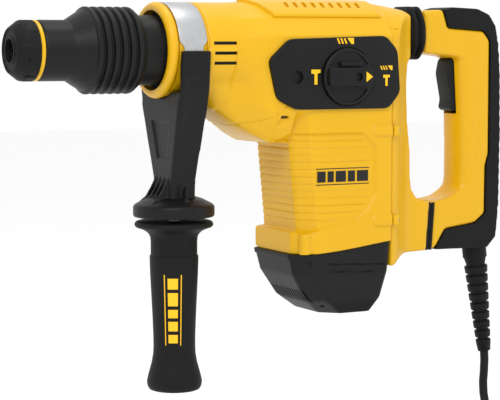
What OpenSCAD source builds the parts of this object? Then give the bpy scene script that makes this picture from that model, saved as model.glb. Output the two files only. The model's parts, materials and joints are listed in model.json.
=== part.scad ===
// Combination hammer with side handle, held by its nose collar.
// Frame: +X to the rear handle, +Z up, -Y the side with the mode dial.
// Origin: centre of the nose collar's front face, on the hammer axis.

/* [Chuck] */
// Radius of the tool socket
socket_r = 9.05; // [8.8:0.05:9.2]
// Length of the chuck in front of the collar
chuck_len = 121.3; // [118:0.1:124]
// Outer radius of the rubber nose cap's front face
cap_face_r = 17.9; // [16:0.1:20]
// Radius of the locking sleeve's narrow front
sleeve_r = 24.4; // [24:0.1:26]
// Radius over the ribs of the locking sleeve
rib_r = 35.4; // [34:0.1:36]
// Number of ribs on the locking sleeve
rib_count = 6; // [4:1:6]
// Radius of the neck that the locking sleeve slides over
neck_r = 28.5; // [27:0.1:29]

/* [Barrel] */
// Radius of the nose collar and of the barrel
collar_r = 39.5; // [39:0.1:41]
// Length of the nose collar
collar_len = 9; // [8:0.5:9]
// Radius of the land that the side handle clamps on
land_r = 38; // [37.5:0.1:38.2]
// Bore of the barrel housing
barrel_bore_r = 34; // [33.5:0.1:34.5]

/* [Body] */
// Half-width of the body
body_w = 45; // [44:0.5:48]
// Radius of the body's rounded top
top_r = 41; // [40:0.1:42]
// Thickness of the housing walls
wall = 3; // [2.5:0.5:3.5]
// Where the front housing meets the motor housing
front_split = 95; // [94:1:96]
// Where the motor housing meets the rear cover
rear_split = 206.7; // [206:0.1:208]
// Height of the joint between the motor housing and its cap
cap_z = -166; // [-168:1:-164]
// Lowest point of the motor cap
cap_bottom = -224.7; // [-228:0.1:-222]

/* [Motor and drive] */
// Where the motor's shaft stands
motor_x = 155; // [155:0.1:155.4]
// Radius of the rotor core
rotor_r = 26; // [24:0.5:27]
// Teeth of the motor pinion, one millimetre of diameter each
pinion_teeth = 10; // [10:1:10]
// Teeth of the crank gear and of the layshaft gear
gear_teeth = 60; // [60:1:60]
// Radius of the crank circle, half the piston's stroke
crank_r = 18; // [12:0.5:18]
// Radius of the cylinder bore
cylinder_r = 20; // [19:0.5:20]
// Teeth of the bevel pinion
bevel_teeth = 12; // [12:1:12]
// Teeth of the ring gear on the cylinder
ring_teeth = 31; // [31:1:31]

/* [Mode dial] */
// Where the dial's axis stands along the body
dial_x = 159.6; // [156:0.1:162]
// Height of the dial's axis
dial_z = -22.2; // [-24:0.1:-20]
// Radius of the dial
dial_r = 24; // [22:0.5:24]

/* [Side handle] */
// Where the side handle stands along the barrel
arm_x = 21.4; // [21.4:0.1:21.6]
// Radius of the arm's flange
flange_r = 34; // [33:0.5:37]
// Top of the side grip
grip_top = -141; // [-142:0.5:-140.5]
// Lowest point of the side grip
grip_bottom = -282.4; // [-290:0.1:-275]

/* [Rear handle] */
// Half-width of the rear handle
handle_w = 18; // [16:0.5:20]
// Half-width of the bellows
bellows_w = 22; // [20:0.5:23]
// Where the handle's pivot pin stands
pivot_x = 252; // [250:0.5:253]
// Height of the handle's pivot pin
pivot_z = -159; // [-160:0.5:-158]

/* [Cord] */
// Diameter of the mains cord
cord_d = 8; // [7:0.1:8]
// Mean radius of the coiled cord
coil_r = 45; // [42:1:48]
// Height of the surface that the coiled cord lies on
floor_z = -386; // [-390:1:-384]

/* [Hidden] */
$fn = 64;

run = 0.05;                            // radial clearance of a running fit
gap = 0.3;                             // room between pieces that move past each other
land_end = 35;
gear_r = gear_teeth / 2;
pinion_r = pinion_teeth / 2;
crank_x = motor_x + pinion_r + gear_r;
layshaft_x = motor_x - pinion_r - gear_r;
gear_z = -44;
gear_t = 8;
rod_len = 60;
wrist_x = crank_x - rod_len;
spindle_step = -62;
sleeve_end = -99;
sleeve_step = -76;
spindle_end = -116;
seat_z = -58;                          // underside of the gear frame
rod_t = 14;
bevel_r = bevel_teeth;                 // pitch radii for teeth of module two
ring_r = ring_teeth;
trigger_x = 293.5;                      // pin that the trigger turns on
trigger_z = -10.5;
bevel_a = atan(bevel_r / ring_r);
bevel_len = norm([bevel_r, ring_r]);
tooth_len = 6;
yellow = [0.98, 0.76, 0.07];
nylon = [0.12, 0.12, 0.13];
rubber = [0.07, 0.07, 0.07];
steel = [0.66, 0.67, 0.69];
cast = [0.55, 0.56, 0.58];
copper = [0.72, 0.42, 0.2];

// Shapes along the row axes
module xcyl(x0, x1, r) translate([x0, 0, 0]) rotate([0, 90, 0]) cylinder(h = x1 - x0, r = r);
module xcone(x0, x1, r0, r1) translate([x0, 0, 0]) rotate([0, 90, 0]) cylinder(h = x1 - x0, r1 = r0, r2 = r1);
module xturn() rotate([0, 90, 0]) rotate_extrude() children();
module zcyl(x, z0, z1, r) translate([x, 0, z0]) cylinder(h = z1 - z0, r = r);
module ycyl(x, z, y0, y1, r) translate([x, y0, z]) rotate([-90, 0, 0]) cylinder(h = y1 - y0, r = r);
module along_x(x0, x1) translate([x0, 0, 0]) rotate([90, 0, 90]) linear_extrude(x1 - x0) children();
module along_y(y0, y1) translate([0, y1, 0]) rotate([90, 0, 0]) linear_extrude(y1 - y0) children();
module block(low, high) translate(low) cube(high - low);
module both_sides() {
    children();
    mirror([0, 1, 0]) children();
}
module xtube(x0, x1, ro, ri) {
    difference() {
        xcyl(x0, x1, ro);
        xcyl(x0 - 1, x1 + 1, ri);
    }
}
module ztube(x, z0, z1, ro, ri) {
    difference() {
        zcyl(x, z0, z1, ro);
        zcyl(x, z0 - 1, z1 + 1, ri);
    }
}
// Plan of the motor column: a narrow front face and slanted corners
module column_plan(x, inset) {
    c = inset * 0.4;
    polygon([[x + inset, c - 30], [x + 16 + c, inset - body_w], [rear_split, inset - body_w],
        [rear_split, body_w - inset], [x + 16 + c, body_w - inset], [x + inset, 30 - c]]);
}
// The motor column, its front leaning back towards the bottom
module column(bottom, inset) hull() {
    translate([0, 0, bottom]) linear_extrude(0.5) column_plan(119, inset);
    translate([0, 0, inset - 56.5]) linear_extrude(0.5) column_plan(110, inset);
}
// Outline of a spur gear with straight-sided teeth of module one
module gear_outline(n, phase) {
    polygon([for (i = [0 : n - 1], k = [0 : 5])
        let (a = (i + phase + [-0.26, -0.1, 0.1, 0.26, 0.36, 0.64][k]) * 360 / n,
             r = n / 2 + [-0.4, 0.8, 0.8, -0.4, -1.25, -1.25][k])
        [r * cos(a), r * sin(a)]]);
}
// A spring: separate rings of wire, standing for its turns
module spring_turns(x0, x1, r, wire, turns) {
    for (i = [0 : turns - 1])
        translate([x0 + wire + (x1 - x0 - 2 * wire) * i / (turns - 1), 0, 0]) rotate([0, 90, 0])
            rotate_extrude() translate([r, 0]) circle(r = wire, $fn = 16);
}

// Housings
module nose_collar() color(yellow) difference() {
    xturn() polygon([[33, 0.8], [33.8, 0], [collar_r - 1, 0], [collar_r, 1], [collar_r, collar_len - 1],
        [collar_r - 1, collar_len], [33, collar_len]]);
}
module front_housing() color(yellow) {
    belly = [[36, -30], [36, -38], [48, -50], [62, -61], [80, -71], [front_split, -76],
        [front_split, -30]];
    difference() {
        union() {
            xcyl(collar_len, land_end, land_r);
            xcyl(land_end, front_split, collar_r);
            along_y(-34, 34) polygon(belly);
            along_x(80, front_split) upper_section(1);
        }
        xcyl(0, front_split - 12, barrel_bore_r);
        along_x(front_split - 12, front_split + 1) upper_section(wall + 1);
        along_y(-31, 31) polygon([[front_split - 14, -30], [front_split - 14, -62], [front_split + 1, -70],
            [front_split + 1, -30]]);
        for (i = [0 : 2]) block([42, -50, 4.7 - 8.1 * i], [63, -30, 7.1 - 8.1 * i]);
    }
}
module upper_section(inset) {
    circle(r = top_r - inset);
    polygon([[inset - body_w, inset - 62], [inset - body_w, 12], [inset - 34, 29 - inset],
        [34 - inset, 29 - inset], [body_w - inset, 12], [body_w - inset, inset - 62]]);
}
module motor_housing() color(yellow) difference() {
    union() {
        along_x(front_split, rear_split) upper_section(0);
        column(cap_z, 0);
        translate([0, 0, cap_z]) linear_extrude(14) column_plan(115.5, 0);
    }
    along_x(front_split - 1, rear_split + 1) upper_section(wall);
    column(cap_z - 1, wall);
    block([rear_split - 5, wall - body_w, cap_z - 1], [rear_split + 1, body_w - wall, -50]);
    ycyl(dial_x, dial_z, -body_w - 1, -body_w + wall + 1, 6);
    both_sides() for (i = [0 : 7]) block([110 + 11 * i, 25, 28], [116 + 11 * i, 36, 33]);
}
module top_cover() color(yellow) intersection() {
    xtube(92, 200, top_r + 2, top_r + 0.01);
    block([92, -28, 20], [200, 28, 60]);
}
module rear_outline(inset) {
    polygon([[rear_split, 40 - inset], [222, 38 - inset], [240, 35 - inset], [240, inset - 8],
        [236 - inset, inset - 12], [236 - inset, -60], [240 - inset, -88], [240 - inset, -112],
        [242 - inset, -124 - inset], [248, -131 - inset], [261.5, -134 - inset], [258, inset - 177],
        [232, inset - 178], [214, inset - 184], [rear_split, inset - 184]]);
}
module rear_plan(inset) {
    polygon([[rear_split, inset - 42], [218, inset - 40], [236, inset - bellows_w],
        [262, inset - 20], [262, 20 - inset], [236, bellows_w - inset], [218, 40 - inset],
        [rear_split, 42 - inset]]);
}
module rear_section(inset) {
    circle(r = top_r - 0.5 - inset);
    translate([inset - 42, -200]) square([84 - 2 * inset, 212]);
}
module rear_solid(inset) intersection() {
    along_y(-50, 50) rear_outline(inset);
    translate([inset == 0 ? 0 : -0.1, 0, -200]) linear_extrude(260) rear_plan(inset);
    along_x(200, 270) rear_section(inset);
}
module rear_cover() color(yellow) difference() {
    union() {
        rear_solid(0);
        both_sides() for (z = [-68.5, -145]) along_y(34, 44.8) translate([rear_split, z - 4.2])
            square([6, 8.4]);
    }
    rear_solid(wall);
    block([244, -12, -176 + wall], [270, 12, -146]);
    block([236, -14, 0], [250, 14, 28]);
    ycyl(pivot_x, pivot_z, -30, 30, 4);
    both_sides() for (z = [-68.5, -145]) translate([0, 40.5, z]) {
        xcyl(rear_split - 1, rear_split + 7, 2.3);
        xcyl(rear_split + 6, rear_split + 20, 3.6);
    }
}
// One level of the motor cap, from x0 to x1 and w to each side
module cap_level(z, x0, x1, w) translate([0, 0, z]) linear_extrude(0.5)
    polygon([[x0, 14 - w], [x0 + 14, -w], [x1 - 6, -w], [x1, 8 - w], [x1, w - 8], [x1 - 6, w], [x0 + 14, w],
        [x0, w - 14]]);
module cap_block(inset) hull() {
    cap_level(cap_z - 0.5, 114 + inset, 209.5, body_w - inset);
    cap_level(-190, 119 + inset, 207.5 - inset, body_w - 1 - inset);
    cap_level(-212, 132 + inset, 203 - inset, 40 - inset);
    cap_level(cap_bottom + inset, 148 + inset, 196 - inset, 34 - inset);
}
module motor_cap() color(nylon) difference() {
    cap_block(0);
    difference() {
        cap_block(wall);
        ztube(motor_x, cap_bottom, cap_bottom + 14, 16, 11);
    }
    zcyl(motor_x, cap_bottom + 5, cap_bottom + 14, 11);
    translate([0, 0, cap_z - 16]) block([126, wall + 6 - body_w, 0], [rear_split - 3, body_w - wall - 6, 20]);
    block([rear_split, -60, cap_z - 18], [230, 60, cap_z + 1]);
}
module selector_plate() color(nylon) difference() {
    along_y(-body_w - 3, -body_w) polygon([[85.8, -8], [104.5, 9.2], [197.6, 12], [209.7, -0.1],
        [212.7, -36], [200.6, -49.4], [111.1, -49.1], [93.2, -40.1]]);
    ycyl(dial_x, dial_z, -body_w - 4, -body_w + 1, 5 + run);
    ycyl(112, dial_z, -body_w - 4, -body_w + 1, 5.6);
}
module gear_frame() color(cast) difference() {
    union() {
        block([100, -36, seat_z], [212, 36, -50]);
        block([140, -36, seat_z], [148, 36, 0]);
        xcyl(140, 148, 36);
    }
    xcyl(139, 149, 31);
    block([139, -33, -50], [149, 33, -33]);
    zcyl(motor_x, -70, -40, 13);
    zcyl(crank_x, -70, -40, 17);
    zcyl(layshaft_x, -70, -20, 13.5);
}
module spindle_bearings() color(steel) {
    xtube(14.5, 26, barrel_bore_r, 24 + run);
    xtube(140, 148, 31, 23.5 + run);
}
module gear_bearings() color(steel) {
    ztube(crank_x, seat_z, -50, 17, 8 + run);
    ztube(layshaft_x, seat_z, -50, 13.5, 6 + run);
}
module motor_bearings() color(steel) {
    ztube(motor_x, seat_z, -50, 13, 6 + run);
    ztube(motor_x, cap_bottom + 5, cap_bottom + 13, 11, 6 + run);
}
module stator() color(cast) ztube(motor_x, -162, -100, 32.4, rotor_r + 1);
module field_windings() color(copper) for (z = [-168, -100]) ztube(motor_x, z, z + 6, 32, 28);
module brush_holders() color([0.8, 0.65, 0.3]) both_sides() difference() {
    block([motor_x - 5, 16, -188], [motor_x + 5, 32, -176]);
    block([motor_x - 3, 15, -186], [motor_x + 3, 33, -178]);
}
module carbon_brushes() color([0.2, 0.2, 0.2]) both_sides() difference() {
    block([motor_x - 3, 12, -186], [motor_x + 3, 28, -178]);
    zcyl(motor_x, -190, -170, 14.3);
}
module cover_screws() color(steel) {
    both_sides() for (z = [-68.5, -145]) translate([0, 40.5, z]) {
        xcyl(rear_split + 1.5, rear_split + 6, 2.2);
        xcyl(rear_split + 6, rear_split + 8.5, 3.4);
    }
}
module pivot_pin() color(steel) ycyl(pivot_x, pivot_z, -19.5, 19.5, 4);
module lower_damper() color(rubber) difference() {
    along_y(-19.6, 19.6) polygon([[261.8, -135.5], [264.9, -135.5], [262.5, -176], [258.5, -176]]);
    block([250, -13, -174], [280, 13, -147]);
}
module front_flange() color(nylon) difference() {
    union() {
        xcyl(-22, 11, neck_r);
        xcyl(9, 14.4, barrel_bore_r);
    }
    xcyl(-23, 15, 24.5);
}

// Spindle and what turns with it
module spindle() color(steel) difference() {
    union() {
        xcyl(spindle_end, spindle_step, 15);
        xcyl(spindle_step, 12, 22);
        xcyl(12, 30, 24);
    }
    xcyl(spindle_end - 1, -38, socket_r);
    xcyl(-39, 24, 13);
    xcyl(24, 31, cylinder_r);
    for (z = [-12.2, 12.2]) translate([0, 0, z]) xcyl(-97, -79, 2.85);
}
module locking_pins() color(steel) for (z = [-12.2, 12.2]) translate([0, 0, z]) xcyl(-97, -79, 2.8);
module cylinder_tube() color(steel) xtube(30, 150, 23.5, cylinder_r);
module bevel_tooth() translate([bevel_len - tooth_len, -1.1, -1.9]) cube([tooth_len, 2.2, 3]);
module ring_gear() color(steel) union() {
    difference() {
        xturn() polygon([[23.5, 98], [33.5, 98], [33.5, 105], [23.5, 108.9]]);
        xcyl(97, 110, 23.5);
    }
    for (i = [0 : ring_teeth - 1]) rotate([(i + 0.5) * 360 / ring_teeth, 0, 0]) translate([layshaft_x, 0, 0])
        rotate([0, 90 + bevel_a, 0]) bevel_tooth();
}
module nose_cap() color(rubber) difference() {
    xturn() polygon([[socket_r + 0.4, -chuck_len], [cap_face_r, -chuck_len], [24.2, -113.3], [24.2, -102.8],
        [15, -102.8], [15, spindle_end], [socket_r + 0.4, spindle_end]]);
}
module chuck_ring() color(yellow) xtube(-102.8, sleeve_end - gap, 24.3, 15);
module sleeve_spring() color(steel) spring_turns(sleeve_step + gap, spindle_step - gap, 18.5, 1, 4);
module locking_sleeve() color(nylon) difference() {
    union() {
        xcyl(sleeve_end, -73.9, sleeve_r);
        xcone(-73.9, -60.9, sleeve_r, rib_r - 2.5);
        xcyl(-60.9, -18, rib_r - 1.6);
        xcone(-18, -16.1, rib_r - 1.6, rib_r - 3.6);
        for (i = [0 : rib_count - 1]) xcyl(-58 + 7 * i, -54.5 + 7 * i, rib_r);
    }
    xcyl(sleeve_end - 1, -15, 15 + run);
    xcyl(sleeve_step, -15, 22.5);
    xcyl(-46, -15, neck_r + 0.5);
}
module beat_piece() color(steel) {
    xcyl(-36, -12, 9 - run);
    xcyl(-12, 14, 13 - run);
    xcyl(14, 22, 9);
}
module ram() color(steel) difference() {
    xcyl(52, 88, cylinder_r - run);
    difference() {
        xcyl(66, 70, 25);
        xcyl(65, 71, 17);
    }
}
module ram_seal() color(rubber) xtube(66, 70, cylinder_r - gap, 17);
module piston() color(cast) difference() {
    xcyl(112, 142, cylinder_r - run);
    difference() {
        xcyl(115, 118, 25);
        xcyl(114, 119, 17);
    }
    block([120, -12, -8], [143, 12, 8]);
    zcyl(wrist_x, -25, 25, 5);
}
module piston_seal() color(rubber) xtube(115, 118, cylinder_r - gap, 17);
module wrist_pin() color(steel) zcyl(wrist_x, -18, 18, 5);
module con_rod() color(cast) difference() {
    union() {
        zcyl(wrist_x, -rod_t / 2, rod_t / 2, 9);
        zcyl(crank_x, -rod_t / 2, rod_t / 2, 11);
        block([wrist_x, -5, -5], [crank_x, 5, 5]);
    }
    zcyl(wrist_x, -20, 20, 5 + run);
    zcyl(crank_x, -20, 20, 6 + run);
}

// Gears, crank and motor
module crank_gear() color(steel) {
    translate([crank_x, 0, gear_z]) linear_extrude(gear_t) gear_outline(gear_teeth, 0.5);
    zcyl(crank_x, seat_z - 2, gear_z, 8);
    zcyl(crank_x, gear_z + gear_t, -20, 12);
    zcyl(crank_x, -20, -12, 25);
    translate([0, crank_r, 0]) zcyl(crank_x, -12, -rod_t / 2 - gap, 6);
}
module layshaft() color(steel) {
    translate([layshaft_x, 0, gear_z]) linear_extrude(gear_t) gear_outline(gear_teeth, 0.5);
    zcyl(layshaft_x, seat_z - 0.5, gear_z, 6);
    zcyl(layshaft_x, gear_z + gear_t, -32.4, 8);
    translate([layshaft_x, 0, -32.5]) cylinder(h = 6.5, r1 = 10.8, r2 = 8.4);
    for (i = [0 : bevel_teeth - 1]) translate([layshaft_x, 0, 0]) rotate([0, 0, i * 360 / bevel_teeth])
        rotate([0, 90 - bevel_a, 0]) bevel_tooth();
}
module rotor_shaft() color(steel) {
    zcyl(motor_x, cap_bottom + 5, -47, 6);
    zcyl(motor_x, -47, gear_z, 4);
    translate([motor_x, 0, gear_z]) linear_extrude(gear_t + 1) gear_outline(pinion_teeth, 0);
}
module rotor_core() color(cast) difference() {
    zcyl(motor_x, -160, -102, rotor_r);
    zcyl(motor_x, -170, -90, 6);
}
module commutator() color(copper) ztube(motor_x, -190, -172, 14, 6);
module cooling_fan() color(nylon) union() {
    ztube(motor_x, -92, -70, 12, 6);
    ztube(motor_x, -92, -90, 36, 6);
    for (i = [0 : 10]) translate([motor_x, 0, -90]) rotate([0, 0, i * 360 / 11]) block([11, -1, -0.1], [36, 1, 14]);
}

// Mode dial
module mode_dial() color(nylon) {
    ycyl(dial_x, dial_z, -body_w - 5, -body_w + 2, 5);
    difference() {
        union() {
            ycyl(dial_x, dial_z, -body_w - 6.5, -body_w - 3 - gap, dial_r);
            block([dial_x - dial_r + 2, -body_w - 12, dial_z - 8], [dial_x + dial_r - 2, -body_w - 6, dial_z + 8]);
        }
        ycyl(dial_x + 6, dial_z, -body_w - 13, -body_w - 10, 3.7);
    }
}
module dial_lock_tab() color(nylon) block([dial_x - 9, -body_w - 9, dial_z + 8.5], [dial_x + 11, -body_w - 6.8, dial_z + 12.5]);

// Side handle
module clamp_band() color(steel) difference() {
    xtube(arm_x - 12.3, arm_x + 12.3, collar_r, land_r + run);
    block([0, -60, -60], [50, 60, -10]);
    both_sides() {
        block([0, 20, -60], [arm_x - 8, 60, 3]);
        block([arm_x + 8, 20, -60], [50, 60, 3]);
    }
}
module side_arm() color(nylon) difference() {
    union() {
        intersection() {
            along_y(-46, 46) polygon([[land_end - 0.6, 0], [land_end - 0.6, -45], [32.2, -106], [33, -128],
                [10, -128], [10.7, -106], [8.6, -45], [collar_len + 0.5, -41], [collar_len + 0.5, 0]]);
            along_x(-20, 60) polygon([[-44.5, 0], [-42, -30], [-38, -45], [-19.5, -106], [-17, -128], [17, -128],
                [19.5, -106], [38, -45], [42, -30], [44.5, 0]]);
        }
        zcyl(arm_x, -137, -126, flange_r);
    }
    xcyl(-30, collar_len + 0.4, collar_r + gap);
    xcyl(collar_len - 1, 60, collar_r + gap);
    block([-20, -land_r, -34], [60, land_r, 10]);
    zcyl(arm_x, -140, -40, 5);
    zcyl(arm_x, -50, -30, 8);
    both_sides() block([arm_x - 12.8, 30, -14], [arm_x + 12.8, collar_r + 1, 5]);
}
module clamp_bolt() color(steel) {
    zcyl(arm_x, -200, -50, 5);
    zcyl(arm_x, -50, -43, 8);
}
module side_grip() color(rubber) difference() {
    translate([arm_x, 0, 0]) rotate_extrude() polygon([[0, grip_top], [31.6, grip_top], [32.8, grip_top - 2.5],
        [31.6, grip_top - 5], [23.4, grip_top - 8], [19.8, grip_top - 13], [19.5, -169.4], [20.4, -170],
        [19.2, -200], [17.7, -236], [17.7, -250], [19.2, -262], [22.4, -271], [23.1, -276], [22.2, grip_bottom + 1],
        [19.8, grip_bottom], [0, grip_bottom]]);
    zcyl(arm_x, -206, grip_top + 1, 5 + run);
    translate([arm_x, 0, -190]) cylinder(h = 14, r = 9, $fn = 6);
}
module grip_nut() color(steel) difference() {
    translate([arm_x, 0, -190]) cylinder(h = 14, r = 9, $fn = 6);
    zcyl(arm_x, -191, -175, 5 + run);
}

// Rear handle
module handle_outline() polygon([[256, 34], [276, 35], [281, 19], [319, 16.5], [325, 10], [325.5, -92],
    [322.5, -104], [322.5, -147], [311.5, -155], [280, -159], [270, -175], [263.5, -177], [266.5, -134],
    [284, -131.5], [290.5, -127], [292.5, -118], [292, -75], [290, -58], [290, -6], [256, -3]]);
module overmould_outline() polygon([[276, 35], [285, 37.5], [312, 36.5], [324, 32], [331, 23], [335, 5], [337, -20],
    [338, -75], [337, -140], [334, -168], [325, -178], [268, -177], [270, -175], [280, -159], [311.5, -155],
    [322.5, -147], [322.5, -104], [325.5, -92], [325, 10], [319, 16.5], [281, 19]]);
module handle_half() difference() {
    union() {
        along_y(0.01, handle_w) handle_outline();
        difference() {
            block([252, 0.01, -164], [268, 9, -154]);
            block([240, -1, -168], [252, 20, -140]);
        }
        ycyl(pivot_x, pivot_z, 0.01, 9, 8);
    }
    along_y(-1, handle_w - wall) polygon([[262, 28], [272, 28], [278, 14], [316, 12], [319, -20], [319, -140],
        [310, -150], [299, -150], [297, -136], [296.5, -75], [296, -6], [262, 2]]);
    along_y(-1, handle_w - 8) polygon([[270, -7], [300, -7], [300, -57], [270, -57]]);
    ycyl(trigger_x, trigger_z, -1, 13.6, 2);
    ycyl(pivot_x, pivot_z, -1, 20, 4 + run);
}
module handle_right() color(yellow) handle_half();
module handle_left() color(yellow) mirror([0, 1, 0]) handle_half();
module handle_overmould() color(rubber) difference() {
    along_y(-handle_w - 0.5, handle_w + 0.5) overmould_outline();
    relief_place() translate([0, 0, -20]) cylinder(h = 30, r = 11);
}
module fold(x, proud) block([x, -bellows_w - proud, -9 - proud], [x + 5, bellows_w + proud, 36 + proud]);
module handle_bellows() color(rubber) difference() {
    union() {
        block([240.4, -bellows_w + 2, -7], [255.6, bellows_w - 2, 34]);
        for (x = [242, 249]) fold(x, 2);
    }
    block([240, 4 - bellows_w, -5], [256, bellows_w - 4, 32]);
}
module handle_spring() color(steel) translate([0, 0, 14]) spring_turns(240.4, 255.7, 9, 1.2, 4);
module switch_module() color(nylon) block([307, -11, -56], [318, 11, -12]);
module trigger() color(nylon) union() {
    difference() {
        along_y(-9, 9) polygon([[287.5, -8], [299.5, -8], [299.5, -53], [293.5, -55], [288, -53], [290, -45],
            [287.5, -33], [285, -21]]);
        block([293.5, -7.5, -57], [300.5, 7.5, -10]);
    }
    ycyl(trigger_x, trigger_z, -13.4, 13.4, 2 - run);
}
module relief_place() translate([321.5, 0, -170]) rotate([0, -7.5, 0]) children();
module strain_relief() color(rubber) difference() {
    relief_place() {
        translate([0, 0, -107]) cylinder(h = 107, r1 = 5.8, r2 = 10.4);
        translate([0, 0, -18]) cylinder(h = 18, r = 11);
    }
    block([315, -20, cord_start[2] - 20], [360, 20, cord_start[2]]);
}

// Cord, its coil and its plug
cord_start = [335.3, 0, -275];
cord_route = [[335.3, 0, -275], [335.8, 0, -284], [335.4, 0, -294], [334.6, 0, -304], [333.8, -2, -314],
    [333.2, -6, -324], [333, -13, -333], [333, -23, -341], [333, -34, -346.5], [333, -46, -348.6]];
tail_route = [[235, -60, -381], [235, -52, -381], [235, -44, -381], [235, -27, -381]];
coil_x = 333 - coil_r;
coil_y = -60;
coil_z = floor_z + 1;
function unit(v) = v / norm(v);
function along(p, i) = unit(p[min(i + 1, len(p) - 1)] - p[max(i - 1, 0)]);
function ring_point(c, t, u, r, a) = c + r * (cos(a) * u + sin(a) * cross(t, u));
module swept(path, r, sides) {
    n = len(path);
    side_of = [for (i = [0 : n - 1]) let (t = along(path, i)) unit(cross(t, abs(t[0]) < 0.9 ? [1, 0, 0] : [0, 0, 1]))];
    points = [for (i = [0 : n - 1], k = [0 : sides - 1])
        ring_point(path[i], along(path, i), side_of[i], r, k * 360 / sides)];
    walls = [for (i = [0 : n - 2], k = [0 : sides - 1]) let (a = i * sides + k, b = i * sides + (k + 1) % sides)
        [a, a + sides, b + sides, b]];
    polyhedron(points, concat([[for (k = [0 : sides - 1]) k]], walls,
        [[for (k = [sides - 1 : -1 : 0]) (n - 1) * sides + k]]));
}
module cord() color(rubber) {
    swept(cord_route, cord_d / 2, 10);
    swept(tail_route, cord_d / 2, 10);
}
module cord_coil() color(rubber) translate([coil_x, coil_y, coil_z]) rotate_extrude() polygon([
    [coil_r - 1.5 * cord_d, 0], [coil_r + 1.5 * cord_d, 0], [coil_r + 1.5 * cord_d, 4 * cord_d],
    [coil_r + 0.5 * cord_d, 4 * cord_d], [coil_r + 0.5 * cord_d, 5 * cord_d],
    [coil_r - 0.5 * cord_d, 5 * cord_d], [coil_r - 0.5 * cord_d, 4 * cord_d],
    [coil_r - 1.5 * cord_d, 4 * cord_d]]);
module coil_tie() color(nylon) translate([coil_x, coil_y, 0]) difference() {
    block([-8, coil_r - 13.2, floor_z], [8, coil_r + 13.2, coil_z + 41]);
    block([-9, coil_r - 12.2, coil_z], [9, coil_r + 12.2, coil_z + 40.2]);
}
module plug() color(rubber) {
    translate([235, -27, -381]) rotate([-90, 0, 0]) cylinder(h = 23, r1 = 4.9, r2 = 6);
    block([217, -5, -386], [253, 25, -373]);
    for (x = [225.5, 244.5]) translate([x, 24.9, -379.5]) rotate([-90, 0, 0]) cylinder(h = 19, r = 2.4);
}

nose_collar();
front_housing();
front_flange();
motor_housing();
rear_cover();
motor_cap();
top_cover();
selector_plate();
gear_frame();
spindle_bearings();
gear_bearings();
motor_bearings();
stator();
field_windings();
brush_holders();
carbon_brushes();
cover_screws();
pivot_pin();
lower_damper();
spindle();
cylinder_tube();
ring_gear();
nose_cap();
chuck_ring();
locking_pins();
sleeve_spring();
locking_sleeve();
beat_piece();
ram();
ram_seal();
piston();
wrist_pin();
piston_seal();
con_rod();
crank_gear();
layshaft();
rotor_shaft();
rotor_core();
commutator();
cooling_fan();
mode_dial();
dial_lock_tab();
clamp_band();
side_arm();
clamp_bolt();
side_grip();
grip_nut();
handle_left();
handle_right();
handle_overmould();
handle_bellows();
handle_spring();
switch_module();
strain_relief();
trigger();
cord();
cord_coil();
coil_tie();
plug();
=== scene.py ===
# Combination hammer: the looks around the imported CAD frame. Lengths below are in millimetres.
import json
import math

import bmesh
import bpy
from mathutils import Matrix, Vector


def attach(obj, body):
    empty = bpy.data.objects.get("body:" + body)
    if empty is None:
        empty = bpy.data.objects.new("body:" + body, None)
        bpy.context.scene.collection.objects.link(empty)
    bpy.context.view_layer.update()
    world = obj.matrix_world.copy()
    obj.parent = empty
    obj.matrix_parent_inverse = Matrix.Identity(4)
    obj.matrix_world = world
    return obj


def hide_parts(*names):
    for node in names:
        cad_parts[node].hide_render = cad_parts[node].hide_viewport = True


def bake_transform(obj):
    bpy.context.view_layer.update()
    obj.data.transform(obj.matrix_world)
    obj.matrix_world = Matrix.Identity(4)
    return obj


mm = 0.001
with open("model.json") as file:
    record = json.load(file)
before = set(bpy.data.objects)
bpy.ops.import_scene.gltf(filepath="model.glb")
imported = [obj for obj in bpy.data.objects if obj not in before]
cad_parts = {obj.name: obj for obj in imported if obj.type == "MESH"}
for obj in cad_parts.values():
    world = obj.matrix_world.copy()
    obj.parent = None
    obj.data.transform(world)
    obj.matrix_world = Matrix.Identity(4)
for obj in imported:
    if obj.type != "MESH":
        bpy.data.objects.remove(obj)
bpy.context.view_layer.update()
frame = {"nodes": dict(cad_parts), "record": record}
print("frame loaded:", len(frame["nodes"]), "nodes")


# Small tools shared by all pieces.

def linearColour(hexText):
    # sRGB hex to the linear values that the shaders take
    def channel(c):
        return c / 12.92 if c <= 0.04045 else ((c + 0.055) / 1.055) ** 2.4
    return tuple(channel(int(hexText[i:i + 2], 16) / 255) for i in (1, 3, 5)) + (1.0,)


def addPiece(name, bm, body, material, replaced=(), smooth=True, sharpAngle=35):
    # turns a bmesh in millimetres into a finished piece that rides on its body
    bmesh.ops.scale(bm, vec=(mm, mm, mm), verts=bm.verts)
    bmesh.ops.remove_doubles(bm, verts=bm.verts, dist=1e-6)
    bmesh.ops.recalc_face_normals(bm, faces=bm.faces)
    mesh = bpy.data.meshes.new(name)
    bm.to_mesh(mesh)
    bm.free()
    piece = bpy.data.objects.new(name, mesh)
    bpy.context.scene.collection.objects.link(piece)
    if smooth:
        mesh.shade_smooth()
        mesh.set_sharp_from_angle(angle=math.radians(sharpAngle))
    mesh.materials.append(material)
    if body:
        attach(piece, body)
    if replaced:
        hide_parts(*replaced)
    return piece


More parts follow.
